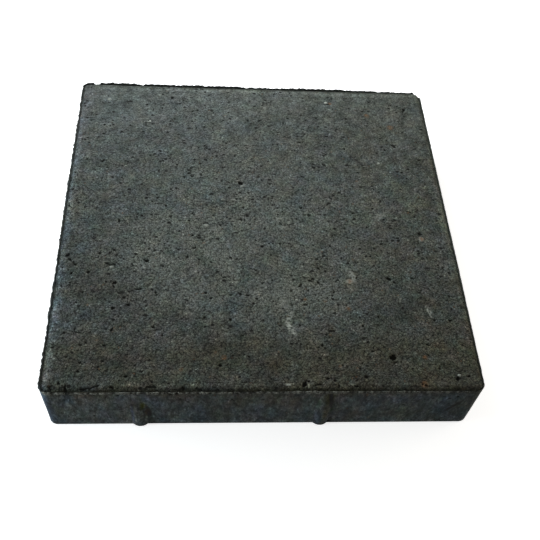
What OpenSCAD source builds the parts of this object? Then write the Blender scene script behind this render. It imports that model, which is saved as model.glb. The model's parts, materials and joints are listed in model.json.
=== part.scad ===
// Square concrete paving slab, cast in one piece, with spacer nibs on its four sides.
// Millimetres. The origin is under the middle of the slab and +Z is up: the slab lies on
// z = 0 with its wearing face on top. The side with the broken nib faces -Y.

/* [Slab] */
// Length of each side, measured over the flat side faces without the nibs
slab_side = 298; // [220:1:600]
// Thickness from the bed face to the wearing face
slab_t = 50; // [40:1:120]
// Radius of the upright corners, seen from above
corner_r = 6; // [6:0.5:20]

/* [Top edge] */
// Width of the chamfer round the wearing face
chamfer_w = 4; // [1:0.5:4]
// Drop of the chamfer, down to the ledge
chamfer_h = 2; // [1:0.5:5]
// Width of the flat ledge outside the chamfer, where the mould's pressing plate closed
ledge_w = 1; // [0.5:0.25:1.5]

/* [Spacer nibs] */
// Distance that a nib stands out from its side face
nib_t = 2; // [1:0.25:4]
// Width of a nib where it meets its side face
nib_w = 10; // [8:0.5:20]
// Left nib, seen from outside: its distance from the middle of the side
nib_left = 86; // [20:1:95]
// Right nib, seen from outside: its distance from the middle of the side
nib_right = 41; // [20:1:95]
// Distance from the ledge down to where a nib fades into its side face
nib_drop = 2; // [1:1:14]
// Height over which the top of a nib slopes back into its side face
nib_slope = 12; // [4:1:16]
// Distance from the ledge down to the top of the one broken nib
broken_drop = 18; // [18:1:30]

/* [Hidden] */
$fn = 96;
concrete_grey = [0.33, 0.34, 0.32];
// Half the side, up to the axis of the corner rounding
corner_at = slab_side / 2 - corner_r;
// Height of the ledge above the bed face
ledge_z = slab_t - chamfer_h;
// A nib is a slice of an upright cylinder: chord nib_w, height of the arc nib_t
nib_r = (nib_w * nib_w / 4 + nib_t * nib_t) / (2 * nib_t);
// Depth that the sloped top of a nib runs on behind the side face, so that they cross cleanly
nib_sink = 0.5;
nib_h = ledge_z - nib_drop;
broken_h = ledge_z - broken_drop;

// Outline of one edge: reach outwards past the corner axis against height
function edge_outline() = [
    [corner_r, 0],
    [corner_r, ledge_z],
    [corner_r - ledge_w, ledge_z],
    [corner_r - ledge_w - chamfer_w, slab_t],
];

// Full section across the slab, with an edge outline on either side
module cross_section() {
    right = [for (p = edge_outline()) [corner_at + p.x, p.y]];
    left = [for (i = [len(right) - 1:-1:0]) [-right[i].x, right[i].y]];
    polygon(concat(right, left));
}

// Bar of the full section, which runs along X between the corner axes
module bar() {
    rotate([90, 0, 90])
        linear_extrude(2 * corner_at, center = true)
            cross_section();
}

// Upright corner, turned from the same edge outline
module corner_post() {
    rotate_extrude()
        polygon(concat([[0, 0]], edge_outline(), [[0, slab_t]]));
}

module body() {
    bar();
    rotate([0, 0, 90]) bar();
    for (x = [-corner_at, corner_at], y = [-corner_at, corner_at])
        translate([x, y, 0]) corner_post();
}

// Nib on the -Y side, at x along that side, with a top that slopes back into the face
module nib(x) {
    translate([x, -slab_side / 2 - nib_t + nib_r, 0]) {
        cylinder(r = nib_r, h = nib_h - nib_slope);
        translate([0, 0, nib_h - nib_slope])
            cylinder(r1 = nib_r, r2 = nib_r - nib_t - nib_sink, h = nib_slope);
    }
}

// The same nib with its top broken off
module broken_nib(x) {
    translate([x, -slab_side / 2 - nib_t + nib_r, 0])
        cylinder(r = nib_r, h = min(broken_h, nib_h - nib_slope));
}

// Each side has the same pair, so the nibs of two neighbouring slabs never meet
module nibs() {
    for (side = [0:3])
        rotate([0, 0, 90 * side]) {
            nib(nib_right);
            if (side == 0)
                broken_nib(-nib_left);
            else
                nib(-nib_left);
        }
}

module slab() {
    color(concrete_grey)
        union() {
            body();
            nibs();
        }
}

slab();
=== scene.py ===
"""Concrete paving slab. Lengths are in millimetres until a mesh, a lamp or the camera is made."""
import json
import math

import bpy
import numpy as np
from mathutils import Matrix, Vector


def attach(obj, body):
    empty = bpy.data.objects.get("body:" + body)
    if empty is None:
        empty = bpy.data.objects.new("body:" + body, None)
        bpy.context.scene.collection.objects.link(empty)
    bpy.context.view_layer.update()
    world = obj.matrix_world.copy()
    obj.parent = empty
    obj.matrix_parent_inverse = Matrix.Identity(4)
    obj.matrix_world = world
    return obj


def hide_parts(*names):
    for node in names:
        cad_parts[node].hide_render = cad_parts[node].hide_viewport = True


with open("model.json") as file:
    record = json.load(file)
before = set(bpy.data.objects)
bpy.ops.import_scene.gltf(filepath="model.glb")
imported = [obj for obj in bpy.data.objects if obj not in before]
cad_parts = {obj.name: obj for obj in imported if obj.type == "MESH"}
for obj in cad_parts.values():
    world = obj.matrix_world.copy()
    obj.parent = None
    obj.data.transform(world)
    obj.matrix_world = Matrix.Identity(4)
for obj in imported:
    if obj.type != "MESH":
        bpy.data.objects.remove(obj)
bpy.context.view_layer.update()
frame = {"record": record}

MM = 0.001
SIDES = 4

# ---------------------------------------------------------------- sizes, from the frame

MOUNTS = {mount["name"]: mount["pos_m"] for mount in frame["record"]["mounts"]}
HALF = -MOUNTS["front_joint_face"][1] / MM  # from the middle to a flat side face
TOP = MOUNTS["wearing_face"][2] / MM

CORNER_R = 6.0
CORNER_AT = HALF - CORNER_R
LEDGE_W = 1.0
CHAMFER_W = 4.0
CHAMFER_H = 2.0
LEDGE_Z = TOP - CHAMFER_H
BED_EDGE_R = 1.2

NIB_T = 2.0
NIB_W = 10.0
NIB_AT = (-86.0, 41.0)  # along a side, seen from outside
NIB_TOP = LEDGE_Z - 2.0
NIB_SLOPE = 12.0  # how far below its top a nib starts to taper
BROKEN_TOP = LEDGE_Z - 18.0  # of the stump of the broken nib

ROUGH_TOP = 14.0  # how far the sides are rougher below the ledge

# ---------------------------------------------------------------- noise

def corner_value(x, y, z, seed):
    """A fixed random number from 0 to 1 for each corner of a cubic lattice."""
    mixed = x * 0x8DA6B343 ^ y * 0xD8163841 ^ z * 0xCB1AB31F ^ seed * 0x9E3779B1
    mixed = (mixed & 0xFFFFFFFF).astype(np.uint32)
    mixed ^= mixed >> np.uint32(15)
    mixed *= np.uint32(0x2C1B3C6D)
    mixed ^= mixed >> np.uint32(12)
    mixed *= np.uint32(0x297A2D39)
    mixed ^= mixed >> np.uint32(15)
    return mixed.astype(np.float32) / np.float32(0xFFFFFFFF)


def noise(points, size, seed):
    """Smooth noise from -1 to 1 at points, with bumps about size across."""
    placed = points / np.asarray(size, dtype=float)
    cell = np.floor(placed).astype(np.int64)
    part = (placed - cell).astype(np.float32)
    part = part * part * (3 - 2 * part)
    total = np.zeros(points.shape[:-1], np.float32)
    for dx, dy, dz in np.ndindex(2, 2, 2):
        weight = (part[..., 0] if dx else 1 - part[..., 0])
        weight = weight * (part[..., 1] if dy else 1 - part[..., 1])
        weight = weight * (part[..., 2] if dz else 1 - part[..., 2])
        total += weight * corner_value(cell[..., 0] + dx, cell[..., 1] + dy, cell[..., 2] + dz, seed)
    return total * 2 - 1


def rough(points, layers, seed):
    """Several noises added up: layers is [(size, height)]."""
    return sum(height * noise(points, size, seed + i) for i, (size, height) in enumerate(layers))


def ease(value):
    """A smooth step from 0 to 1."""
    value = np.clip(value, 0, 1)
    return value * value * (3 - 2 * value)

# ---------------------------------------------------------------- the lattice of points

COLUMNS = 480  # steps along each side
MOST_TRIANGLES = 190_000
SHARP_FROM = math.radians(60)  # edges that bend more than this aren't shaded smooth


def ring(half, t, side):
    """Points on a square with the slab's rounded corners. t runs from -1 to 1 along each side, and
    the sides 0 to 3 go round anticlockwise from the front."""
    straight = np.minimum(half, CORNER_AT)
    radius = half - straight
    along = t * (straight + radius * math.pi / 4)
    bend = np.clip((np.abs(along) - straight) / np.maximum(radius, 1e-9), 0, math.pi / 4)
    x = np.sign(along) * (np.minimum(np.abs(along), straight) + radius * np.sin(bend))
    y = -(straight + radius * np.cos(bend))
    cos, sin = np.array([1, 0, -1, 0])[side], np.array([0, 1, 0, -1])[side]
    return x * cos - y * sin, x * sin + y * cos


def nearest_side(x, y):
    """Which of the sides 0 to 3 is nearest to a point."""
    return np.where(np.abs(y) >= np.abs(x), np.where(y < 0, 0, 2), np.where(x > 0, 1, 3))


def sheet(half):
    """A square lattice that fills that ring: x, y and how far from the middle, as a half width."""
    steps = np.linspace(-1, 1, COLUMNS + 1)
    u, v = np.meshgrid(steps, steps)
    level = np.maximum(np.abs(u), np.abs(v))
    side = nearest_side(u, v)
    safe = np.maximum(level, 1e-9)
    t = np.choose(side, [u / safe, v / safe, -u / safe, -v / safe])
    x, y = ring(half * level, t, side)
    return x, y, half * level


def border(index):
    """The outline of a square lattice of vertex numbers, anticlockwise from the front left."""
    return np.concatenate([index[0, :-1], index[:-1, -1], index[-1, :0:-1], index[:0:-1, 0]])

# ---------------------------------------------------------------- pits and grains

# As shares of a pit's radius
PIT_REACH = 1.6  # how far out it is looked for
PIT_EDGE = 1.25  # where it ends
PIT_WALL = 0.55  # how wide its sloping wall is
PIT_WAVER = 0.4  # how much its outline wavers


def dent(across, up, pits, ragged):
    """How deep the lattice at across and up is pressed in by pits, each
    (x, y, long radius, short radius, turn, depth). ragged breaks up their outlines."""
    depth = np.zeros((len(up), len(across)), np.float32)
    for x, y, long_r, short_r, turn, deep in pits:
        reach = PIT_REACH * long_r
        i0, i1 = np.searchsorted(across, [x - reach, x + reach])
        j0, j1 = np.searchsorted(up, [y - reach, y + reach])
        dx = across[None, i0:i1] - x
        dy = up[j0:j1, None] - y
        a = dx * math.cos(turn) + dy * math.sin(turn)
        b = dy * math.cos(turn) - dx * math.sin(turn)
        rho = np.hypot(a / long_r, b / short_r) + PIT_WAVER * ragged[j0:j1, i0:i1]
        here = deep * ease((PIT_EDGE - rho) / PIT_WALL)
        depth[j0:j1, i0:i1] = np.maximum(depth[j0:j1, i0:i1], here)
    return depth


def scatter(rng, count, half_width, rows, smallest, largest, deepest):
    """Random pits in loose groups: many small and few large, most of them longer along X. They lie
    within half_width of x = 0, with y in rows. The sizes are radii, and deepest limits their depth."""
    tries = 4 * count
    x = rng.uniform(-half_width, half_width, tries)
    y = rng.uniform(*rows, tries)
    crowd = noise(np.stack([x, y, 0 * x], -1), 20, 91) + rng.normal(0, 0.6, tries)
    kept = np.argsort(-crowd)[:count]
    radius = np.minimum(smallest * rng.random(count) ** -0.5, largest)
    stretch = rng.uniform(1.0, 2.2, count) ** 0.5
    turn = rng.normal(0, 0.5, count)
    depth = np.minimum(radius, deepest)
    return list(zip(x[kept], y[kept], radius * stretch, radius / stretch, turn, depth))


# The larger pits of the wearing face: x, y, long radius, short radius, turn, depth
MAIN_PITS = [
    (88, -123.5, 2.3, 1.8, 0.9, 2.0),
    (25, -144, 2.1, 1.3, 0.8, 1.8),
    (130.5, -140, 1.6, 1.2, 0.9, 1.5),
    (138.5, -138, 1.4, 0.9, 0.1, 1.2),
    (94, -57.5, 1.9, 1.1, 2.6, 1.5),
    (97.5, -60.5, 1.2, 0.7, 2.4, 1.0),
    (39.5, -113.5, 1.5, 0.7, 1.3, 1.1),
    (-14.5, 34.5, 1.9, 1.5, 2.4, 1.6),
    (131.5, 125, 1.8, 1.1, 0.1, 1.2),
    (123.5, -14.5, 1.4, 0.9, 0.3, 1.0),
    (-93, -137.5, 1.5, 0.9, 0.2, 1.2),
    (-102, -145.3, 1.6, 0.9, 0.0, 1.4),
    (-132, -145.8, 2.2, 0.8, 1.5, 1.4),
    (-142.5, -145, 2.2, 0.6, 0.3, 0.9),
    (-120.5, -146.3, 2.4, 0.7, 0.0, 1.1),
    (-113.5, -145.2, 3.2, 0.6, 0.3, 0.9),
    (-76, -145.2, 3.4, 0.6, 0.0, 0.9),
    (-55.5, -146, 1.6, 0.8, 2.8, 1.1),
    (-15, -142.3, 2.2, 0.5, 0.2, 0.7),
    (34, -144.2, 3.4, 0.6, 0.2, 0.9),
    (60.5, -145.2, 2.0, 0.7, 0.1, 1.0),
    (108.2, -144.6, 1.4, 0.7, 0.0, 1.1),
    (-31, -129.5, 1.2, 0.9, 0.5, 1.0),
    (-84.5, -43, 1.6, 1.2, 0.4, 1.3),
    (-41.5, -6.8, 2.2, 0.6, 0.1, 0.9),
    (-101.5, -71.5, 3.2, 0.5, 0.1, 0.8),
    (-94, -69.5, 2.6, 0.5, 0.35, 0.7),
    (-88.5, -68, 2.2, 0.7, 0.1, 1.1),
    (-112, -46, 3.2, 0.7, 2.7, 1.0),
    (-106.5, -63, 1.7, 1.1, 0.3, 1.2),
    (35, -59.5, 2.0, 0.8, 2.6, 1.2),
    (31, -57, 2.2, 0.5, 2.7, 0.8),
    (42, -48.5, 1.3, 0.8, 2.8, 1.0),
    (-141.5, -38.5, 2.0, 1.2, 0.8, 1.2),
    (-139.5, -42.5, 1.8, 0.8, 2.6, 1.0),
    (-95.5, -81.5, 1.8, 1.1, 2.9, 1.1),
    (-99, -75.5, 1.3, 0.7, 0.0, 0.9),
    (-105.5, -84, 1.7, 1.1, 0.5, 1.1),
    (-127.5, -104, 2.2, 0.5, 0.0, 0.8),
    (-130, -101, 1.6, 0.5, 1.3, 0.8),
]

# Pale grains that stand out of it: x, y, long radius, short radius, turn, height
MAIN_GRAINS = [
    (132, -137.5, 1.1, 0.8, 0.8, 0.5),
    (-125, 127.5, 2.1, 1.8, 0.0, 0.35),
    (14.5, -144.3, 1.7, 0.8, 0.0, 0.3),
    (-90, 102.5, 1.7, 1.1, 0.5, 0.3),
    (100.5, 59.5, 1.2, 0.9, 0.0, 0.3),
    (103.5, -120.5, 2.2, 1.4, 2.8, 0.3),
    (62.5, 131, 1.3, 1.0, 0.0, 0.4),
    (-41.5, -9, 1.9, 1.3, 0.0, 0.4),
    (-28.5, 17, 1.6, 1.1, 0.0, 0.3),
    (-109.5, -49, 1.6, 0.9, 0.3, 0.4),
    (-13, 31.5, 1.3, 1.0, 0.0, 0.3),
    (-127, -101.5, 1.9, 1.5, 0.0, 0.3),
]

# Where a piece of the edge broke away: x, y, long radius, short radius, turn, depth
CHIPS = [
    (-139, -147, 2.5, 1.2, 0.2, 0.7),
    (-118, -146.5, 3.0, 1.0, 0.0, 0.6),
    (112, -147, 2.2, 1.0, 0.0, 0.6),
]

# The back right corner broke off beyond an upright plane, which leans out below the ledge
BREAK_FACING = 0.7  # radians from X
BREAK_AT = 205.4  # from the middle of the slab
BREAK_LEAN = 0.4
BREAK_KEEPS = 0.12  # how much is left of what was beyond it
BREAK_SINKS = 0.25  # how far it comes down above the ledge, for each millimetre that it is pressed in

SHADE_AND_GRIME_FADE = 0.8  # the soft edge of the painted shade and grime along the ledge
RIM_ZONE = 14.0  # a point this far from a side face starts to belong to that rim


def broken_corner(points):
    """The points with the back right corner pressed in to its break."""
    across, along = math.cos(BREAK_FACING), math.sin(BREAK_FACING)
    x, y, z = np.moveaxis(points, -1, 0)
    limit = BREAK_AT + BREAK_LEAN * np.clip(LEDGE_Z - z, 0, None)
    limit += rough(points, [(4, 0.4), (1.6, 0.3)], 81)
    beyond = np.clip(across * x + along * y - limit, 0, None) * (1 - BREAK_KEEPS)
    sunk = BREAK_SINKS * beyond * ease((z - LEDGE_Z) / 2)
    return points - np.stack([across * beyond, along * beyond, sunk], -1)

# ---------------------------------------------------------------- the wearing face

def wearing_face(rng):
    """The points of the wearing face with its chamfer, its pits and its grains, and the values of
    its pits, of its grains and of the painted shade and grime in the angle of the ledge."""
    x, y, half = sheet(HALF - LEDGE_W)
    flat = np.stack([x, y, np.zeros_like(x)], -1)
    across = x[len(x) // 2]
    ragged = noise(flat, 1.3, 11)
    limits = (-HALF + 2, HALF - 2)
    pits = scatter(rng, 520, HALF - 2, limits, smallest=0.4, largest=1.0, deepest=0.9)
    lumps = scatter(rng, 200, HALF - 6, limits, smallest=0.6, largest=1.4, deepest=0.25)
    depth = dent(across, across, pits + MAIN_PITS, ragged)
    proud = dent(across, across, lumps + MAIN_GRAINS, ragged)
    broken = dent(across, across, CHIPS, noise(flat, 3.0, 12))

    inset = HALF - LEDGE_W - half
    waved = inset + rough(flat, [(9, 0.45), (2.2, 0.5)], 21) * ease(inset / 1.5)
    below = CHAMFER_H * (1 - np.clip(waved / CHAMFER_W, 0, 1)) ** 2
    relief = rough(flat, [(60, 0.15), (22, 0.12), (7, 0.1), (3, 0.08)], 31)
    z = TOP - below + relief * ease(inset / CHAMFER_W) - depth + proud
    z -= np.clip(broken - below, 0, None)
    # painted shade, with grime, in the angle between the chamfer and the burr
    groove = np.clip((shade_and_grime_reach(flat) - inset) / SHADE_AND_GRIME_FADE, 0, 1)
    return np.stack([x, y, z], -1), depth, proud, groove


def shade_and_grime_reach(points):
    """How far inwards the painted shade and grime in the angle of the ledge come: furthest at the back
    left.
    """
    x, y = points[..., 0], points[..., 1]
    front, right, back, left = (ease((far - HALF + RIM_ZONE) / 8) for far in (-y, x, y, -x))
    reach = 1.1 + 0.5 * front + back * (3.3 + 1.2 * ease((-x - 10) / 80))
    reach -= 0.8 * right
    reach += 0.35 * left * np.clip(y / 90, -1, 1)
    return reach + rough(points, [(6, 0.5), (2, 0.5)], 61) * (1 - 0.5 * back)

# ---------------------------------------------------------------- the bed face

def bed_face(rng):
    """The points of the underside: open-grained, and flat where it bears on the bed."""
    x, y, _ = sheet(HALF - BED_EDGE_R)
    flat = np.stack([x, y, np.zeros_like(x)], -1)
    across = x[len(x) // 2]
    limits = (-HALF + 3, HALF - 3)
    pits = scatter(rng, 420, HALF - 3, limits, smallest=0.9, largest=3.0, deepest=1.5)
    depth = dent(across, across, pits, noise(flat, 1.6, 12))
    inside = ease((HALF - BED_EDGE_R - np.maximum(np.abs(x), np.abs(y))) / 4)
    z = inside * np.maximum(rough(flat, [(30, 0.25), (8, 0.2), (3, 0.2)], 41), 0) + depth
    return np.stack([x, y, z], -1), depth, np.zeros_like(depth)

# ---------------------------------------------------------------- the sides, the nibs and the burr

def nib_reach(local, side, points):
    """How far the nibs stand out of the sides. local is the distance from the middle of a side."""
    radius = (NIB_W * NIB_W / 4 + NIB_T * NIB_T) / (2 * NIB_T)
    z = points[..., 2]
    slope = NIB_T * np.clip((z - NIB_TOP + NIB_SLOPE) / NIB_SLOPE, 0, 1)
    stump = ease((BROKEN_TOP + 1.5 * noise(points, 3.0, 59) - z) / 3)
    reach = np.zeros_like(z)
    for at in NIB_AT:
        arc = np.sqrt(np.clip(radius * radius - (local - at) ** 2, 0, None)) - (radius - NIB_T)
        whole = np.clip(arc - slope, 0, None)
        broken = np.clip(arc, 0, None) * stump
        is_broken = (side == 0) & (at < 0)
        reach = np.maximum(reach, np.where(is_broken, broken, whole))
    return reach


def side_pits(rng, length):
    """The pits of the four sides, with the sides unrolled: most of them just below the ledge."""
    pits = []
    for number in range(SIDES):
        middle = (number + 0.5) * length
        for low, high, deepest in ((LEDGE_Z - 12, LEDGE_Z - 1, 0.8), (3, LEDGE_Z - 10, 0.7)):
            found = scatter(rng, 40, length / 2 - 8, (low, high), 0.4, 1.1, deepest)
            pits += [(middle + x, *rest) for x, *rest in found]
    return pits


def sides(rng):
    """The rows of points up the sides, over the burr and down to the ledge: an array of rows by
    columns by 3, with the depth of its pits."""
    k = np.arange(SIDES * COLUMNS)
    side = k // COLUMNS
    t = -1 + 2 * (k % COLUMNS) / COLUMNS
    spacing = 2 * HALF / COLUMNS
    length = 2 * (CORNER_AT + CORNER_R * math.pi / 4)

    turns = np.radians([30, 60, 90])  # round the lower edge
    edge_reach = BED_EDGE_R * (np.sin(turns) - 1)
    edge_z = BED_EDGE_R * (1 - np.cos(turns))
    count = round((LEDGE_Z - BED_EDGE_R) / spacing)
    wall_z = np.linspace(BED_EDGE_R, LEDGE_Z, count + 1)[1:]
    row_z = np.concatenate([edge_z, wall_z])
    row_reach = np.concatenate([edge_reach, np.zeros(count)])

    x, y = ring(HALF + row_reach[:, None], t[None], side[None].repeat(len(row_z), 0))
    z = np.repeat(row_z[:, None], len(k), 1)
    points = np.stack([x, y, z], -1)
    local = (t * length / 2)[None]  # along each side from its middle

    unrolled = np.arange(len(k)) / COLUMNS * length
    depth = dent(unrolled, row_z, side_pits(rng, length), noise(points, 1.3, 13))

    top_zone = ease((z - LEDGE_Z + ROUGH_TOP) / (ROUGH_TOP - 2))
    reach = rough(points, [(50, 0.15), (14, 0.08)], 51)
    reach += noise(points, (1.5, 1.5, 14), 55) * 0.05
    reach += rough(points, [(4, 0.06), (1.8, 0.06)], 57) * (0.5 + top_zone)
    reach *= ease(z / 3) * 0.9 + 0.1
    band = ease((z - LEDGE_Z + CRUMB_REACH) / 1.2)
    crumb = crumbs(points)
    reach += band * (crumb - 0.5) * np.array(CRUMB_RELIEF)[side]
    nibs = nib_reach(local, side, points) * (1 + 0.12 * noise(points, 2.5, 60))
    points[..., :2] += outward(points) * (reach + nibs - depth)[..., None]
    burr_points = burr(t, side, points[-1])
    none = np.zeros((len(burr_points), len(k)), np.float32)
    rim = np.concatenate([band, none + np.array(RIM)[:, None]])
    bead = np.concatenate([crumb, none + crumb[-1]])
    return np.concatenate([points, burr_points]), np.concatenate([depth, none]), rim, bead


def crumbs(points):
    """The crumbs of cement along the top of the sides: 1 in the middle of each, 0 in the gaps."""
    tall = points * (1, 1, 0.3)
    return ease((noise(tall, 1.6, 77) + 0.6 * noise(tall, 0.9, 78) + 0.6) / 1.2)


def outward(points):
    """The outward direction in plan, from the slab's sides and rounded corners."""
    core = np.clip(points[..., :2], -CORNER_AT, CORNER_AT)
    away = points[..., :2] - core
    return away / np.maximum(np.linalg.norm(away, axis=-1, keepdims=True), 1e-9)


# The burr and its crumbs, on the front, the right, the back and the left side in turn
BURR_HEIGHT = ((1.3, 1.3, 1.3), (1.15, 1.15, 1.15), (0.6, 1.5, 2.35), (2.2, 2.15, 2.0))
BURR_RAGGED = (1.0, 0.08, 0.85, 0.6)  # how uneven it is
BURR_CRUMBLY = (0.7, 0.1, 0.15, 0.2)  # how deep the gaps between the crumbs cut into it
CRUMB_RELIEF = (0.5, 0.05, 0.5, 0.35)  # how far the crumbs stand out of the gaps

BURR_PLACES = (0.04, 0.3, 0.96)  # where along a side its mean height is given
BURR_HIGHEST = 1.9
BURR_GAPS = [(-137, 149, 2.5), (147.5, 147, 3.8), (-34, -149, 3), (-129, -149, 3)]  # x, y, reach
CRUMB_REACH = 2.0  # how far the crumbs come down from the ledge
# Its section, from the side face over the crest to the ledge: reach, share of the height, sway
BURR_ROWS = ((0.0, 0.5, 0.5), (-0.12, 1.0, 1.0), (-0.5, 0.92, 0.9), (-0.72, 0.3, 0.3))
RIM = (1.0, 1.0, 0.0, 0.0)  # which of these rows are on its outer side


def burr(t, side, rim):
    """The ragged fin of cement that stands on the ledge, where the mould's plate closed: its rows from
    the side face over the crest to the ledge."""
    x, y = ring(HALF, t, side)
    base = np.stack([x, y, np.full_like(x, LEDGE_Z)], -1)
    away = outward(base)
    places = [number + place for number in range(SIDES) for place in BURR_PLACES]
    height = np.interp(side + (t + 1) / 2, places, np.ravel(BURR_HEIGHT), period=SIDES)
    ragged = np.array(BURR_RAGGED)[side]
    height *= 1 + ragged * rough(base, [(16, 0.35), (5, 0.3), (1.8, 0.4)], 71)
    height *= 1 - ragged * (1 - ease((noise(base, 7, 74) + 0.85) / 0.3))
    height *= 1 - np.array(BURR_CRUMBLY)[side] * (1 - crumbs(base))
    for gap_x, gap_y, reach in BURR_GAPS:
        height *= ease((np.hypot(x - gap_x, y - gap_y) - reach) / 2 + 0.5)
    height = np.clip(height, 0.05, BURR_HIGHEST)
    lean = 0.15 + ragged * rough(base, [(8, 0.35), (2.2, 0.25)], 75)
    start = np.sum((rim - base)[..., :2] * away, -1)  # where the side face below ends
    rows = []
    for reach, share, sway in BURR_ROWS:
        row = base.copy()
        row[:, :2] += away * (start * (1 + reach) + reach + sway * lean * height)[:, None]
        row[:, 2] += share * height
        rows.append(row)
    return np.stack(rows)

# ---------------------------------------------------------------- the slab's mesh

def slab_mesh():
    """One closed mesh of the whole slab, dense at first and then thinned out where it is even."""
    rng = np.random.default_rng(7)
    top, top_depth, top_proud, top_groove = wearing_face(rng)
    bed, bed_depth, bed_proud = bed_face(rng)
    wall, wall_depth, wall_rim, wall_bead = sides(rng)

    size = (COLUMNS + 1) ** 2
    top_index = np.arange(size).reshape(COLUMNS + 1, COLUMNS + 1)
    bed_index = top_index + size
    wall_index = 2 * size + np.arange(wall.shape[0] * wall.shape[1]).reshape(wall.shape[:2])
    loops = [border(bed_index), *wall_index, border(top_index)]
    quads = [squares(top_index), squares(bed_index)[:, ::-1]]
    for lower, upper in zip(loops[:-1], loops[1:]):
        quads.append(np.stack([lower, np.roll(lower, -1), np.roll(upper, -1), upper], -1))

    points = broken_corner(np.concatenate([part.reshape(-1, 3) for part in (top, bed, wall)]))
    mesh = new_mesh("paving_slab", points * MM, np.concatenate(quads))
    on_wall = np.ones_like(wall_depth)
    # the inner side of the burr takes the same painted shade and grime
    groove = np.zeros_like(wall_depth)
    groove[-len(RIM):] = 1 - np.array(RIM)[:, None]
    none = np.zeros_like(top_depth)
    for name, parts in {
        "pit": (top_depth, bed_depth, wall_depth),
        "grain": (top_proud, bed_proud, 0 * on_wall),
        "groove": (top_groove, none, groove),
        "rim": (none, none, wall_rim),
        "bead": (none, none, wall_bead),
        "wall": (none, none, on_wall),
    }.items():
        layer = mesh.attributes.new(name, "FLOAT", "POINT")
        layer.data.foreach_set("value", np.concatenate([part.ravel() for part in parts]).astype(np.float32))
    return thinned(mesh)


def squares(index):
    """The quads of a lattice of vertex numbers."""
    corners = [index[:-1, :-1], index[:-1, 1:], index[1:, 1:], index[1:, :-1]]
    return np.stack(corners, -1).reshape(-1, 4)


def new_mesh(name, points, quads):
    """A mesh of those points, in metres, and those quads."""
    mesh = bpy.data.meshes.new(name)
    mesh.vertices.add(len(points))
    mesh.vertices.foreach_set("co", points.astype(np.float32).ravel())
    mesh.loops.add(quads.size)
    mesh.loops.foreach_set("vertex_index", quads.astype(np.int32).ravel())
    mesh.polygons.add(len(quads))
    mesh.polygons.foreach_set("loop_start", np.arange(0, quads.size, 4, dtype=np.int32))
    mesh.update(calc_edges=True)
    return mesh


def thinned(mesh):
    """The mesh with its triangles brought down to the limit, most of them kept where it bends."""
    dense = bpy.data.objects.new("dense", mesh)
    bpy.context.scene.collection.objects.link(dense)
    collapse = dense.modifiers.new("thin", "DECIMATE")
    collapse.ratio = MOST_TRIANGLES / (2 * len(mesh.polygons))
    graph = bpy.context.evaluated_depsgraph_get()
    result = bpy.data.meshes.new_from_object(dense.evaluated_get(graph))
    bpy.data.objects.remove(dense)
    bpy.data.meshes.remove(mesh)
    for vertex in result.vertices:  # none of them below the ground
        vertex.co.z = max(vertex.co.z, 0.0)
    for polygon in result.polygons:
        polygon.use_smooth = True
    result.set_sharp_from_angle(angle=SHARP_FROM)
    lay_out(result)
    return result

# ---------------------------------------------------------------- the map for baking

MAP_MARGIN = 2.0  # room for the nibs around each face, in millimetres
MAP_SCALE = 0.65 / (2 * (HALF + MAP_MARGIN))  # of the unit square, for a millimetre
MAP_GAP = 0.005
UPRIGHT = 0.7  # a face of the sides whose normal rises less than this belongs to a strip


def lay_out(mesh):
    """The flat map of the slab: the wearing face, the bed face at half its scale, the four sides, and
    a narrow strip for the inner side of each burr."""
    count = len(mesh.polygons)
    middle, normal = (np.empty(count * 3, np.float32) for _ in range(2))
    mesh.polygons.foreach_get("center", middle)
    mesh.polygons.foreach_get("normal", normal)
    middle, normal = middle.reshape(-1, 3) / MM, normal.reshape(-1, 3)
    corners = np.empty(len(mesh.loops), np.int32)
    mesh.loops.foreach_get("vertex_index", corners)
    places = np.empty(len(mesh.vertices) * 3, np.float32)
    mesh.vertices.foreach_get("co", places)
    x, y, z = (places.reshape(-1, 3)[corners] / MM).T
    wall = np.empty(len(mesh.vertices), np.float32)
    mesh.attributes["wall"].data.foreach_get("value", wall)
    first, many = (np.empty(count, np.int32) for _ in range(2))
    mesh.polygons.foreach_get("loop_start", first)
    mesh.polygons.foreach_get("loop_total", many)
    on_wall = np.add.reduceat(wall[corners], first) / many > 0.5

    # for each polygon
    side = nearest_side(middle[:, 0], middle[:, 1])
    facing = np.choose(side, [-normal[:, 1], normal[:, 0], normal[:, 1], -normal[:, 0]])
    upright = on_wall & (np.abs(normal[:, 2]) < UPRIGHT)
    inner = upright & (facing < 0)
    top = ~upright & (middle[:, 2] > TOP / 2)

    # for each of their corners: the strips of the front and the back lie above the wearing face, and
    # those of the right and the left stand to its right, above the bed face
    upright, inner, top, side = (np.repeat(value, many) for value in (upright, inner, top, side))
    reach = HALF + MAP_MARGIN
    along = np.choose(side, [x, y, -x, -y]) + reach
    ledge = z - LEDGE_Z + 0.5
    far = MAP_GAP + 2 * reach * MAP_SCALE + 3 * MAP_GAP  # beyond the wearing face
    second = side >= 2  # the back and the left come outside the front and the right
    step = (TOP + 4) * MAP_SCALE + MAP_GAP
    strip = second * step + (z + 1) * MAP_SCALE
    narrow = 2 * step + second * 3 * MAP_GAP + ledge * MAP_SCALE
    out = far + np.where(inner, narrow, strip)
    run = np.where(side % 2, far / 2 + 3 * MAP_GAP, MAP_GAP) + along * MAP_SCALE
    u = np.where(side % 2, out, run)
    v = np.where(side % 2, run, out)
    top_u = MAP_GAP + (x + reach) * MAP_SCALE
    bed_u = far + (reach - x) * MAP_SCALE / 2
    u = np.where(upright, u, np.where(top, top_u, bed_u))
    v = np.where(upright, v, MAP_GAP + (y + reach) * MAP_SCALE * np.where(top, 1, 0.5))
    layer = mesh.uv_layers.new(name="OFBake")
    layer.uv.foreach_set("vector", np.stack([u, v], -1).astype(np.float32).ravel())

# ---------------------------------------------------------------- materials

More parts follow.
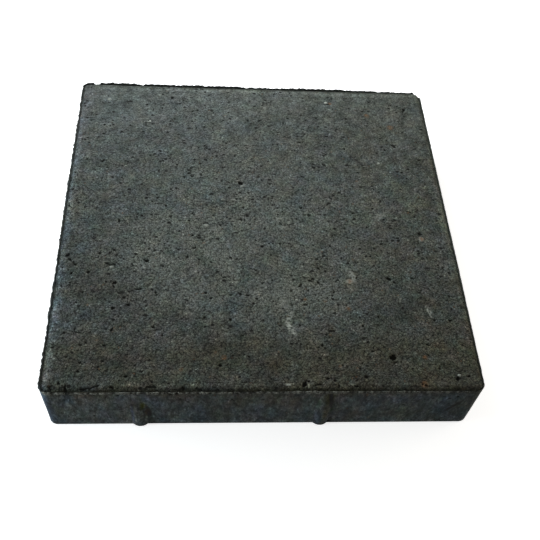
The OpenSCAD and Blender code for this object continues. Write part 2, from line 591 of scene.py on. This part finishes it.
def add(tree, kind, inputs=None, **settings):
    """A new node with those inputs, each a value or a socket, and those settings."""
    node = tree.nodes.new(kind)
    for name, value in settings.items():
        setattr(node, name, value)
    for name, value in (inputs or {}).items():
        if isinstance(value, bpy.types.NodeSocket):
            tree.links.new(value, node.inputs[name])
        else:
            node.inputs[name].default_value = value
    return node


def calc(tree, operation, a, b=0.0, clamp=False):
    """A Math node's output."""
    return add(tree, "ShaderNodeMath", {0: a, 1: b}, operation=operation, use_clamp=clamp).outputs[0]


def times(tree, a, b):
    """One value times another."""
    return calc(tree, "MULTIPLY", a, b)


def blend(tree, factor, a, b, how="MIX"):
    """The colour a, blended with b."""
    node = add(tree, "ShaderNodeMix", {0: factor, 6: a, 7: b}, data_type="RGBA", blend_type=how)
    return node.outputs[2]


def span(tree, value, low, high, to_low=0.0, to_high=1.0):
    """value carried from low..high to to_low..to_high, and held at the ends."""
    inputs = {"Value": value, "From Min": low, "From Max": high, "To Min": to_low, "To Max": to_high}
    return add(tree, "ShaderNodeMapRange", inputs).outputs["Result"]


def clouds(tree, where, size, detail=2.0, crispness=0.5):
    """Noise from about 0.2 to 0.8, with cells of that size in millimetres."""
    inputs = {"Vector": where, "Scale": 1 / (size * MM), "Detail": detail, "Roughness": crispness}
    return add(tree, "ShaderNodeTexNoise", inputs).outputs["Fac"]


def cells(tree, where, size):
    """Round cells of that size in millimetres: how far from the middle of each, and its own colour."""
    return add(tree, "ShaderNodeTexVoronoi", {"Vector": where, "Scale": 1 / (size * MM)}).outputs


def channels(tree, colour):
    """A colour's red, green and blue."""
    return add(tree, "ShaderNodeSeparateColor", {"Color": colour}).outputs


def grey(level):
    """A colour without any tint."""
    return (level, level, level, 1.0)


# Colours, as linear light
BLUE_GREY = (0.097, 0.108, 0.102, 1)
GREEN_GREY = (0.0965, 0.105, 0.093, 1)
SIDE_BLUE = (0.091, 0.102, 0.107, 1)
SIDE_BROWN = (0.113, 0.107, 0.097, 1)
OLIVE_GRIME_AND_SHADE = (0.92, 0.87, 0.78, 1)  # multiplied in along the front: olive grime and painted shade
BROWN_DAMP_AND_SHADE = (0.78, 0.77, 0.75, 1)  # multiplied in around the dusty middle of the face: damp and painted shade in front of it
DAMP = (0.68, 0.70, 0.69, 1)  # multiplied in where the face is darker
GROOVE_SHADE_AND_GRIME = (0.45, 0.46, 0.41, 1)  # multiplied in along the ledge and on the burr's inner side: painted shade, with grime
SIDE_LOW_TINT = (0.80, 0.93, 0.96, 1)  # multiplied in, darker and bluer towards the bottom of the sides
SIDE_BLOTCH = (0.60, 0.62, 0.58, 1)  # multiplied in to the right
SIDE_PLAIN = (0.078, 0.083, 0.081, 1)  # evens out the sides that the camera doesn't see
# pale dust, also the painted reflection of the window in the middle of the wearing face
DUST_AND_SHEEN = (0.19, 0.205, 0.175, 1)
SCUFF = (0.36, 0.38, 0.34, 1)
# the pale crumbs of the burr, lighter still as a painted highlight on their crests
BEAD_AND_HIGHLIGHT = (0.20, 0.204, 0.176, 1)
CRUMB = (0.135, 0.136, 0.118, 1)
GAP = (0.014, 0.015, 0.012, 1)
RUST = (0.15, 0.075, 0.032, 1)
DARK = (0.004, 0.004, 0.003, 1)

DRAWN = 0.5  # how wide the grains of the sides are for their height, as the mould drew them
FRONT_SHADE_BOW = 3.3  # how much the edge of the painted shade and damp in front of the dusty middle curves, for each metre

# Damp patches of the wearing face: middle, radii, strength
DAMP_PLACES = [
    ((-128, -24), (38, 60), 1.1),
    ((-82, 40), (18, 36), 0.8),
    ((-128, 12), (10, 8), 0.8),
    ((-116, 116), (13, 10), 1.3),
    ((93, 114), (16, 8), 0.9),
    ((99, -76), (20, 20), 1.1),
    ((80, -77), (26, 18), 0.8),
    ((-60, -92), (30, 16), 0.6),
    ((104, -20), (34, 30), 0.5),
    ((94, -35), (9, 8), 0.5),
    ((-98, 132), (28, 17), 1.2),
    ((-120, 86), (18, 16), 0.5),
    ((-52, 52), (16, 14), 0.4),
    ((-115, -18), (15, 12), 0.7),
    ((-39, 57), (9, 7), 0.8),
    ((-33, 41), (10, 8), 1.7),
    ((-32, 80), (12, 8), 0.5),
    ((74, 56), (16, 14), 0.6),
    ((-46, -67), (9, 7), 0.7),
    ((28, 118), (12, 8), 0.5),
    ((71, -80), (10, 7), 0.4),
    ((-73, 69), (9, 8), 0.4),
    ((-131, 76), (12, 12), 0.9),
    ((15, -120), (26, 9), 0.4),
    ((100, 134), (44, 14), 0.6),
    ((20, 55), (12, 9), 0.5),
    ((-79, 27), (12, 10), 0.4),
    ((112, 101), (14, 10), 0.5),
    ((-84, 60), (40, 26), 0.6),
    ((-10, 90), (40, 22), 0.9),
    ((58, 92), (26, 22), 0.6),
    ((130, 50), (30, 50), 0.5),
]

# Dusty patches of it, the largest in the middle also a painted reflection of the window: middle, radii,
# strength
DUST_AND_SHEEN_PLACES = [
    ((-16, -26), (96, 76), 0.46),
    ((-58, -40), (44, 32), 0.40),
    ((-56, 40), (22, 18), 0.2),
    ((16, -74), (34, 17), 0.66),
    ((28, -73), (14, 10), 0.75),
    ((55, -17), (16, 11), 0.8),
    ((-57, -38), (14, 9), 0.25),
    ((98, -103), (10, 7), 0.2),
    ((48, -111), (10, 6), 0.2),
    ((-109, -111), (16, 8), 0.2),
    ((-136, -57), (7, 9), 0.2),
    ((83, -131), (12, 5), 0.2),
    ((10, 20), (26, 10), 0.35),
    ((-5, -49), (12, 9), 0.3),
    ((138, -60), (12, 26), 0.25),
    ((125, -104), (12, 8), 0.2),
    ((88, -113), (12, 8), 0.25),
]

# Pale scuffs on it: middle, radii, turn, strength
SCUFFS = [
    ((18.5, -100.5), (2.0, 5.5), 0.5, 1.1),
    ((17.8, -91), (1.7, 5.5), -0.45, 0.6),
    ((119.5, -86), (1.4, 5.2), 0.3, 0.7),
    ((66.5, -55.5), (1.9, 4.4), 0.3, 0.85),
    ((94.5, 3), (5, 3), 0.3, 0.35),
    ((16, -80), (6, 6), 0.0, 0.25),
]

# Single pale grains of it: middle, radii, strength
SPECKS = [
    ((-90, 102.5), (1.6, 1.1), 1.0),
    ((62.5, 131), (1.5, 1.2), 1.0),
    ((-125, 127.5), (1.9, 1.7), 0.2),
    ((14.5, -144.3), (1.6, 0.8), 0.5),
    ((100.5, 59.5), (1.1, 0.9), 0.8),
    ((132, -137.5), (1.1, 0.8), 0.9),
    ((-41.5, -9), (1.7, 1.2), 0.45),
    ((-28.5, 17), (1.6, 1.1), 0.25),
    ((-19.5, 17), (1.4, 1.1), 0.35),
    ((-109.5, -49), (1.7, 0.8), 0.4),
    ((-13, 31.5), (1.2, 0.9), 0.4),
    ((124, -19.5), (2.0, 2.2), 0.5),
    ((64, -60), (2.6, 1.8), 0.7),
]

# Rusty grains of it: middle, radius
RUSTY = [
    ((-28.5, -123.5), 1.8),
    ((-57, -132.5), 1.3),
    ((110.5, -123.5), 1.7),
    ((107, -144), 2.2),
    ((50.5, -130), 1.0),
    ((61, -84), 1.8),
    ((64, -60), 2.0),
    ((30, -76), 1.2),
    ((44.5, -77), 1.3),
    ((97, 116), 2.0),
    ((116, 102), 2.4),
    ((124.5, -19.5), 1.9),
    ((66, 130), 1.4),
]

# Stains of the front side, and painted shadows, highlights and bluish tints of light around its nibs and at
# its left corner: middle, radii, turn, colour multiplied in, strength
SIDE_STAINS_AND_SHADING = [
    # painted shadow down the right of the right nib, olive at the top
    ((43.8, -150, 42.5), (1.5, 4, 4.5), -0.1, (0.02, 0.02, 0.01, 1), 1.5),
    ((45, -150, 34), (1.4, 4, 8), -0.12, (0.02, 0.02, 0.01, 1), 1.4),
    ((43.5, -150, 41), (3.5, 4, 7), 0.0, (0.50, 0.48, 0.30, 1), 1.0),
    ((46.6, -150, 22), (1.2, 4, 6), 0.05, (0.26, 0.33, 0.24, 1), 1.0),
    ((47.4, -150, 6), (1.4, 4, 5), 0.05, (0.03, 0.04, 0.03, 1), 1.4),
    # painted tints of the bluish light on the right nib's left edge
    ((36.5, -150, 31), (1.7, 4, 7), 0.0, (0.42, 0.54, 0.47, 1), 1.0),
    ((38, -150, 12), (3.0, 4, 14), 0.0, (0.62, 0.64, 0.76, 1), 1.0),
    # a brownish stain on the right nib
    ((42.5, -151.5, 20), (2.0, 4, 20), 0.0, (1.0, 0.92, 0.72, 1), 0.9),
    # the olive fracture of the left nib's stump
    ((-83, -150.5, 30.5), (2.2, 3, 4.5), 0.0, (0.62, 0.54, 0.12, 1), 1.0),
    # the left nib's crest a little lighter and warmer
    ((-85, -151.5, 18), (2.6, 3, 9), 0.0, (1.2, 1.1, 0.95, 1), 0.9),
    # painted shadow to the right of the left nib
    ((-79.8, -149.6, 20), (2.1, 3, 6.0), 0.0, (0.28, 0.18, 0.12, 1), 1.4),
    ((-78.8, -149.6, 17), (1.3, 3, 4.0), 0.0, (0.02, 0.014, 0.008, 1), 1.5),
    # painted highlight along the left nib's right edge
    ((-81.3, -149.8, 10), (0.8, 3, 8.0), 0.0, (2.6, 2.5, 2.2, 1), 1.2),
    # painted shadow low to the right of the left nib
    ((-78.5, -149.6, 8), (1.8, 3, 8), 0.0, (0.4, 0.45, 0.36, 1), 1.0),
    # painted tints of the bluish light on the left nib's left edge
    ((-90.3, -150, 16), (1.2, 3, 14), 0.0, (0.54, 0.56, 0.92, 1), 0.9),
    ((-87.5, -149, 37), (2.5, 3, 4), 0.0, (0.75, 0.70, 0.88, 1), 0.9),
    # painted shade, bluish, where the left lamp lights the left corner
    ((-149, -149, 25), (6, 7, 44), 0.0, (0.50, 0.60, 0.80, 1), 1.0),
    # a scratch, a warm stain below the top, and a darker right end
    ((131.8, -149, 26), (1.5, 3, 11), 0.48, (0.08, 0.08, 0.06, 1), 1.0),
    ((5, -149, 38), (34, 3, 9), 0.0, (0.93, 0.86, 0.72, 1), 0.9),
    ((148, -149, 12), (30, 6, 44), 0.0, (0.76, 0.76, 0.72, 1), 1.0),
]

# Painted highlights along the arrises, and a painted shadow along the back just inside the burr: middle,
# radii, colour multiplied in
EDGE_LIGHT_AND_SHADE = [
    ((-147, -110, 49), (4.5, 170, 7), (1.88, 1.98, 2.2, 1)),
    ((-137, -95, 50), (7, 50, 6), (1.16, 1.17, 1.2, 1)),
    ((-144, 110, 50), (5, 46, 6), (1.03, 1.0, 1.07, 1)),
    ((147.2, -5, 49), (4, 160, 6), (1.24, 1.22, 1.14, 1)),
    ((0, 143.2, 50), (190, 2.5, 4), (1.42, 1.41, 1.42, 1)),
    ((0, 147, 48.6), (190, 2.0, 2.5), (0.6, 0.6, 0.6, 1)),
    ((0, -144.8, 50), (190, 1.6, 3), (1.25, 1.25, 1.25, 1)),
]


def concrete():
    """Pressed concrete: sand grains in dark cement, with clouds of dust, pits and a few marks, and
    light and shade painted along its edges, on its front side and at the front of its wearing face.
    """
    material = bpy.data.materials.new("concrete")
    material.use_nodes = True
    tree = material.node_tree
    tree.nodes.clear()
    seen = add(tree, "ShaderNodeTexCoord").outputs["Object"]
    x, y, z = add(tree, "ShaderNodeSeparateXYZ", {0: seen}).outputs
    # put together again, so that Cycles takes the nodes in the order they are made, and has room for them
    where = add(tree, "ShaderNodeCombineXYZ", {0: x, 1: y, 2: z}).outputs[0]
    names = ("wall", "pit", "grain", "groove", "rim", "bead")
    values = {name: add(tree, "ShaderNodeAttribute", attribute_name=name).outputs["Fac"] for name in names}
    values.update(x=x, y=y, z=z)
    drawn = span(tree, values["wall"], 0, 1, 1, DRAWN)
    drawn = add(tree, "ShaderNodeCombineXYZ", {0: 1.0, 1: 1.0, 2: drawn}).outputs[0]
    place = add(tree, "ShaderNodeMapping", {"Vector": where, "Scale": drawn}).outputs[0]
    sand = cells(tree, place, 1.5)
    fines = cells(tree, place, 0.8)
    pores = open_pores(tree, place, values)

    colour = cement(tree, place, values)
    colour = weather(tree, where, colour, values)
    colour = grains(tree, place, colour, sand, fines, values)
    colour = marks(tree, where, colour)
    colour = side_marks(tree, where, colour)
    colour = edges(tree, where, colour, values)
    colour = blend(tree, times(tree, pores, 0.94), colour, DARK)
    colour = blend(tree, span(tree, values["pit"], 0.1, 0.8, 0, 0.85), colour, DARK)

    height = surface(tree, place, values["wall"], sand, fines, pores)
    bump = add(tree, "ShaderNodeBump", {"Height": height, "Distance": MM})
    shader = add(tree, "ShaderNodeBsdfPrincipled", {
        "Base Color": colour,
        "Roughness": 0.9,
        "Specular IOR Level": 0.13,
        "Normal": bump.outputs["Normal"],
    })
    add(tree, "ShaderNodeOutputMaterial", {"Surface": shader.outputs[0]})
    return material


def open_pores(tree, where, values):
    """Pinholes and short torn crevices, in loose groups: 1 inside. There are fewer of them near the
    front, to the right and on the sides."""
    stretched = add(tree, "ShaderNodeMapping", {"Vector": where, "Scale": (0.65, 1, 1)}).outputs[0]
    crowd = span(tree, clouds(tree, where, 12, 2), 0.38, 0.62, 0.05, 0.38)
    crowd = times(tree, crowd, span(tree, values["y"], -110 * MM, -10 * MM, 0.6, 1))
    crowd = times(tree, crowd, span(tree, values["x"], 70 * MM, 140 * MM, 1, 0.75))
    torn = calc(tree, "ADD", clouds(tree, stretched, 1.8, 3, 0.6), times(tree, crowd, 0.25))
    pores = span(tree, torn, 0.72, 0.76)
    for place, size, share, small, large in (
        (where, 1.5, 0.22, 0.36, 0.54),
        (where, 3.6, 0.9, 0.17, 0.31),
        (stretched, 3.0, 0.5, 0.22, 0.38),
    ):
        holes = cells(tree, place, size)
        random = channels(tree, holes["Color"])
        chosen = calc(tree, "ADD", random["Red"], times(tree, crowd, share))
        reach = span(tree, random["Green"], 0, 1, small, large)
        hole = span(tree, calc(tree, "SUBTRACT", holes["Distance"], reach), 0.05, -0.05)
        hole = times(tree, hole, span(tree, chosen, 1.0, 1.04))
        pores = calc(tree, "MAXIMUM", pores, hole)
    return times(tree, pores, span(tree, values["wall"], 0, 1, 1, 0.5))


def cement(tree, where, values):
    """The ground colour: bluer to the left and on the sides, clouded in lightness and in tint."""
    frayed = calc(tree, "ADD", values["x"], times(tree, clouds(tree, where, 40, 3), 260 * MM))
    colour = blend(tree, span(tree, frayed, 40 * MM, 210 * MM), BLUE_GREY, GREEN_GREY)
    side = blend(tree, span(tree, clouds(tree, where, 16, 2), 0.35, 0.65), SIDE_BROWN, SIDE_BLUE)
    low = span(tree, values["z"], 20 * MM, 80 * MM, 1, 0)
    side = blend(tree, low, side, SIDE_LOW_TINT, "MULTIPLY")
    for size in (6, 3, 1.6):
        side = scaled(tree, side, span(tree, clouds(tree, where, size, 3), 0.36, 0.54, 0.72, 1.12))
    side = scaled(tree, side, span(tree, values["x"], -140 * MM, 100 * MM, 0.93, 1.13))
    blotches = span(tree, clouds(tree, where, 5, 3), 0.42, 0.56, 1, 0)
    blotches = times(tree, blotches, span(tree, values["x"], 30 * MM, 130 * MM))
    side = blend(tree, blotches, side, SIDE_BLOTCH, "MULTIPLY")
    colour = blend(tree, values["wall"], colour, side)
    for size, swing in ((50, 0.08), (20, 0.16), (9, 0.38), (4, 0.42), (2.2, 0.38)):
        level = span(tree, clouds(tree, where, size, 2), 0.2, 0.8, 1 - swing, 1 + swing)
        colour = scaled(tree, colour, level)
    plain = colour
    for size, swing in ((11, 0.28), (3.2, 0.15)):
        inputs = {"Vector": where, "Scale": 1 / (size * MM), "Detail": 2.0}
        cloud = channels(tree, add(tree, "ShaderNodeTexNoise", inputs).outputs["Color"])
        colour = tinted(tree, colour, (cloud["Red"], swing), (cloud["Blue"], swing))
    cloud = clouds(tree, where, 26, 2)
    colour = tinted(tree, colour, (cloud, 0.15), (cloud, -0.15))
    colour = blend(tree, span(tree, values["y"], 10 * MM, 120 * MM, 1, 0.45), plain, colour)
    hidden = times(tree, values["wall"], span(tree, values["y"], -146 * MM, -138 * MM, 0, 0.45))
    return blend(tree, hidden, colour, SIDE_PLAIN)


def tinted(tree, colour, red, blue):
    """The colour with its red and its blue each raised or lowered by a cloud, as far as its swing."""
    inputs = {"Green": 1.0}
    for name, (cloud, swing) in (("Red", red), ("Blue", blue)):
        inputs[name] = span(tree, cloud, 0, 1, 1 - swing, 1 + swing)
    level = add(tree, "ShaderNodeCombineColor", inputs).outputs[0]
    return blend(tree, 1.0, colour, level, "MULTIPLY")


def grains(tree, where, colour, sand, fines, values):
    """Single grains: each a little lighter or darker, darker where they meet, a few pale or rusty."""
    random = channels(tree, sand["Color"])
    other = channels(tree, fines["Color"])
    near = span(tree, values["y"], -140 * MM, 130 * MM, 0.75, 0.45)
    grainy = scaled(tree, colour, span(tree, random["Red"], 0, 1, 0.82, 1.18))
    grainy = scaled(tree, grainy, span(tree, sand["Distance"], 0.45, 0.85, 1.08, 0.3))
    grainy = scaled(tree, grainy, span(tree, other["Red"], 0, 1, 0.86, 1.14))
    grainy = scaled(tree, grainy, span(tree, fines["Distance"], 0.45, 0.85, 1.08, 0.3))
    for level, kind in ((random["Green"], 0.965), (other["Green"], 0.975)):
        pale = times(tree, span(tree, level, kind, kind + 0.01), near)
        grainy = scaled(tree, grainy, calc(tree, "ADD", pale, 1.0))
    grainy = blend(tree, span(tree, random["Blue"], 0.995, 0.998, 0, 0.35), grainy, RUST)
    crevice = span(tree, clouds(tree, where, 1.2, 3, 0.65), 0.44, 0.30)
    grainy = blend(tree, times(tree, crevice, 0.9), grainy, DARK)
    shown = span(tree, values["y"], 0, 140 * MM, 1, 0.7)
    shown = times(tree, shown, span(tree, values["wall"], 0, 1, 1, 0.6))
    colour = blend(tree, shown, colour, grainy)
    return blend(tree, span(tree, values["grain"], 0.22, 0.35, 0, 0.6), colour, DUST_AND_SHEEN)


def spot(tree, place, centre, radii, turn=(0, 0, 0), soft=1.0):
    """1 inside an ellipsoid and 0 outside, with a soft edge. Sizes in millimetres."""
    outer = 1 + soft / 2
    inputs = {
        "Vector": place,
        "Location": [value * MM for value in centre],
        "Rotation": turn,
        "Scale": [value * outer * MM for value in radii],
    }
    inside = add(tree, "ShaderNodeMapping", inputs, vector_type="TEXTURE").outputs[0]
    ball = add(tree, "ShaderNodeTexGradient", {0: inside}, gradient_type="SPHERICAL").outputs["Fac"]
    return span(tree, ball, 0, soft / outer)


def on_top(tree, place, centre, radii, turn=0.0, soft=1.0):
    """A spot on the wearing face."""
    return spot(tree, place, (*centre, TOP), (*radii, 6), (0, 0, turn), soft)


def weather(tree, where, colour, values):
    """Darker patches and pale dust on the wearing face, the dust in the middle partly a painted reflection
    of the window, and olive grime and painted shade along its front.
    """
    cloud = clouds(tree, where, 22, 4, 0.6)
    frayed = span(tree, cloud, 0.3, 0.7)
    for centre, radii, strength in DAMP_PLACES:
        mask = times(tree, on_top(tree, where, centre, radii, 0.0, 1.2), frayed)
        colour = blend(tree, calc(tree, "MULTIPLY", mask, strength, clamp=True), colour, DAMP, "MULTIPLY")
    # pale dust, the large patches in the middle also a painted reflection of the window
    for centre, radii, strength in DUST_AND_SHEEN_PLACES:
        mask = times(tree, on_top(tree, where, centre, radii, 0.0, 1.3), frayed)
        colour = blend(tree, times(tree, mask, strength), colour, DUST_AND_SHEEN)
    # the front of the wearing face darker and browner: painted shade beyond the middle's painted
    # reflection, with damp and olive grime
    high = span(tree, values["z"], 40 * MM, 47 * MM)
    aside = calc(tree, "SUBTRACT", values["x"], 15 * MM)
    bow = times(tree, times(tree, aside, aside), FRONT_SHADE_BOW)
    edge = calc(tree, "ADD", values["y"], times(tree, cloud, 30 * MM))
    bowed = calc(tree, "SUBTRACT", edge, bow)
    around = times(tree, high, span(tree, bowed, -96 * MM, -82 * MM, 1, 0))
    colour = blend(tree, around, colour, BROWN_DAMP_AND_SHADE, "MULTIPLY")
    front = times(tree, high, span(tree, edge, -102 * MM, -88 * MM, 1, 0))
    return blend(tree, front, colour, OLIVE_GRIME_AND_SHADE, "MULTIPLY")


def marks(tree, where, colour):
    """The pale scuffs and the rusty grains of the wearing face."""
    worn = span(tree, clouds(tree, where, 1.6, 2), 0.38, 0.58)
    for centre, radii, turn, strength in SCUFFS:
        mask = times(tree, on_top(tree, where, centre, radii, turn, 0.8), worn)
        colour = blend(tree, times(tree, mask, strength), colour, SCUFF)
    for centre, radii, strength in SPECKS:
        mask = on_top(tree, where, centre, radii, 0.0, 0.6)
        colour = blend(tree, times(tree, mask, strength), colour, SCUFF)
    rusted = None
    for centre, radius in RUSTY:
        mask = on_top(tree, where, centre, (radius, radius), 0.0, 1.0)
        rusted = calc(tree, "MAXIMUM", mask, rusted or 0.0)
    rusted = times(tree, rusted, span(tree, clouds(tree, where, 1.3, 2), 0.4, 0.6, 0.2, 0.75))
    return blend(tree, rusted, colour, RUST)


def side_marks(tree, where, colour):
    """The stains of the front side on the stump of the left nib and a scratch, and painted shadows,
    highlights and bluish tints of light beside both nibs and at the left corner.
    """
    cloud = span(tree, clouds(tree, where, 3, 3), 0.25, 0.5, 0.75, 1)
    for centre, radii, turn, tone, strength in SIDE_STAINS_AND_SHADING:
        # stains, and painted shadows, highlights and tints of light
        mask = times(tree, spot(tree, where, centre, radii, (0, turn, 0), 0.9), cloud)
        colour = blend(tree, calc(tree, "MULTIPLY", mask, strength, clamp=True), colour, tone, "MULTIPLY")
    return colour


def edges(tree, where, colour, values):
    """Painted highlights and shade along the arrises, painted shade with grime in the angle between the
    chamfer and the burr, a painted contact shadow along the foot of the sides, and sandy crumbs outside it,
    their crests lighter as a painted highlight.
    """
    # painted highlights and shade along the arrises
    for centre, radii, tone in EDGE_LIGHT_AND_SHADE:
        colour = blend(tree, spot(tree, where, centre, radii), colour, tone, "MULTIPLY")
    # painted shade, with grime, in the angle of the ledge and on the burr's inner side
    shade_and_grime = span(tree, clouds(tree, where, 2.5, 2), 0.38, 0.6, 0.6, 1)
    shade_and_grime = times(tree, shade_and_grime, span(tree, values["groove"], 0.1, 0.9))
    colour = blend(tree, shade_and_grime, colour, GROOVE_SHADE_AND_GRIME, "MULTIPLY")
    # a painted contact shadow along the foot of the sides
    contact_shadow = times(tree, values["wall"], span(tree, values["z"], 0.4 * MM, 2 * MM, 0.6, 0))
    colour = blend(tree, contact_shadow, colour, DARK)
    sandy = blend(tree, span(tree, values["bead"], 0.0, 0.15), GAP, CRUMB)
    # pale crumbs, their crests lighter as a painted highlight
    sandy = blend(tree, span(tree, values["bead"], 0.6, 0.9), sandy, BEAD_AND_HIGHLIGHT)
    sandy = scaled(tree, sandy, span(tree, clouds(tree, where, 1.4, 2), 0.35, 0.65, 0.5, 1.6))
    sandy = scaled(tree, sandy, span(tree, clouds(tree, where, 1.0, 1), 0.40, 0.48, 0.12, 1))
    sandy = scaled(tree, sandy, span(tree, values["x"], 40 * MM, 120 * MM, 1, 0.55))
    return blend(tree, times(tree, values["rim"], 0.9), colour, sandy)


def surface(tree, where, wall, sand, fines, pores):
    """The height of the fine relief in millimetres: grains and pores, and smoother on the sides."""
    dome = times(tree, sand["Distance"], -0.6)
    small = times(tree, fines["Distance"], -0.3)
    sandy = calc(tree, "ADD", dome, small)
    sandy = times(tree, sandy, span(tree, wall, 0, 1, 1.0, 0.3))
    waves = times(tree, clouds(tree, where, 3, 3), 0.6)
    return calc(tree, "SUBTRACT", calc(tree, "ADD", sandy, waves), times(tree, pores, 0.5))


def scaled(tree, colour, level):
    """A colour times a level."""
    both = add(tree, "ShaderNodeCombineColor", {"Red": level, "Green": level, "Blue": level}).outputs[0]
    return blend(tree, 1.0, colour, both, "MULTIPLY")


def seen_directly(tree):
    """1 for what the camera sees, straight or in a reflection, and 0 for light that bounces."""
    path = add(tree, "ShaderNodeLightPath").outputs
    straight = calc(tree, "MAXIMUM", path["Is Camera Ray"], path["Is Glossy Ray"])
    return calc(tree, "MAXIMUM", straight, path["Is Transmission Ray"])


def floor_material():
    """White where it is looked at, and darker for the light that it throws back."""
    material = bpy.data.materials.new("floor")
    material.use_nodes = True
    tree = material.node_tree
    tree.nodes.clear()
    dull = add(tree, "ShaderNodeBsdfDiffuse", {"Color": grey(0.2)}).outputs[0]
    white = add(tree, "ShaderNodeBsdfDiffuse", {"Color": grey(0.8)}).outputs[0]
    glow = add(tree, "ShaderNodeEmission", {"Color": grey(1.0), "Strength": 0.72}).outputs[0]
    shown = add(tree, "ShaderNodeAddShader", {0: white, 1: glow}).outputs[0]
    mixed = add(tree, "ShaderNodeMixShader", {0: seen_directly(tree), 1: dull, 2: shown})
    add(tree, "ShaderNodeOutputMaterial", {"Surface": mixed.outputs[0]})
    return material

# ---------------------------------------------------------------- the object

slab = bpy.data.objects.new("paving_slab", slab_mesh())
bpy.context.scene.collection.objects.link(slab)
slab.data.materials.append(concrete())
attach(slab, "root")
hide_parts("slab")

# ---------------------------------------------------------------- floor, light and camera

FLOOR_HALF = 4000.0

floor_mesh = bpy.data.meshes.new("floor")
floor_corners = Vector((-1, -1, 0)), Vector((1, -1, 0)), Vector((1, 1, 0)), Vector((-1, 1, 0))
floor_mesh.from_pydata([corner * FLOOR_HALF * MM for corner in floor_corners], [], [(0, 1, 2, 3)])
floor = bpy.data.objects.new("floor", floor_mesh)
bpy.context.scene.collection.objects.link(floor)
floor.data.materials.append(floor_material())


def lamp(name, at, aim, size, power, colour):
    """A square soft lamp at a point in millimetres that faces another."""
    light = bpy.data.lights.new(name, "AREA")
    light.size = size * MM
    light.energy = power
    light.color = colour
    holder = bpy.data.objects.new(name, light)
    place, target = Vector(at) * MM, Vector(aim) * MM
    turned = (target - place).to_track_quat("-Z", "Y").to_matrix().to_4x4()
    holder.matrix_world = Matrix.Translation(place) @ turned
    holder.visible_camera = False
    bpy.context.scene.collection.objects.link(holder)


lamp("window", at=(-130, 430, 300), aim=(0, 0, TOP), size=280, power=3.3, colour=(0.92, 0.98, 1.0))
lamp("left", at=(-520, -190, 100), aim=(0, -60, 30), size=250, power=2.2, colour=(0.80, 0.93, 1.0))
lamp("right", at=(560, -40, 150), aim=(0, 0, 40), size=300, power=0.9, colour=(1.0, 0.90, 0.76))

world = bpy.data.worlds.new("studio")
world.use_nodes = True
sky = world.node_tree
sky.nodes.clear()
room = add(sky, "ShaderNodeBackground", {"Color": (1.0, 0.99, 0.95, 1), "Strength": 0.26}).outputs[0]
backdrop = add(sky, "ShaderNodeBackground", {"Color": grey(1.0), "Strength": 1.0}).outputs[0]
either = add(sky, "ShaderNodeMixShader", {0: seen_directly(sky), 1: room, 2: backdrop})
add(sky, "ShaderNodeOutputWorld", {"Surface": either.outputs[0]})
bpy.context.scene.world = world
bpy.context.scene.view_settings.view_transform = "Standard"

# The camera looks down on the slab from the front, a little turned and rolled
CAMERA_AT = (-41.7, -377.3, 506.3)
CAMERA_YAW = 8.26  # degrees to the right of straight back
CAMERA_PITCH = 54.09  # degrees down
CAMERA_ROLL = 7.27  # degrees anticlockwise
CAMERA_LENS = 51.04
SENSOR = 36.0


def aim_camera():
    """The camera at that place, turned right, then down, then rolled."""
    camera = bpy.data.objects.new("camera", bpy.data.cameras.new("camera"))
    camera.data.lens = CAMERA_LENS
    camera.data.sensor_width = SENSOR
    camera.data.clip_start = 0.01
    yaw, pitch, roll = (math.radians(a) for a in (CAMERA_YAW, CAMERA_PITCH, CAMERA_ROLL))
    forward = Vector((math.sin(yaw) * math.cos(pitch), math.cos(yaw) * math.cos(pitch), -math.sin(pitch)))
    level = Vector((math.cos(yaw), -math.sin(yaw), 0))
    above = level.cross(forward)
    right = math.cos(roll) * level + math.sin(roll) * above
    up = math.cos(roll) * above - math.sin(roll) * level
    turned = Matrix((right, up, -forward)).transposed().to_4x4()
    camera.matrix_world = Matrix.Translation(Vector(CAMERA_AT) * MM) @ turned
    bpy.context.scene.collection.objects.link(camera)
    bpy.context.scene.camera = camera


aim_camera()
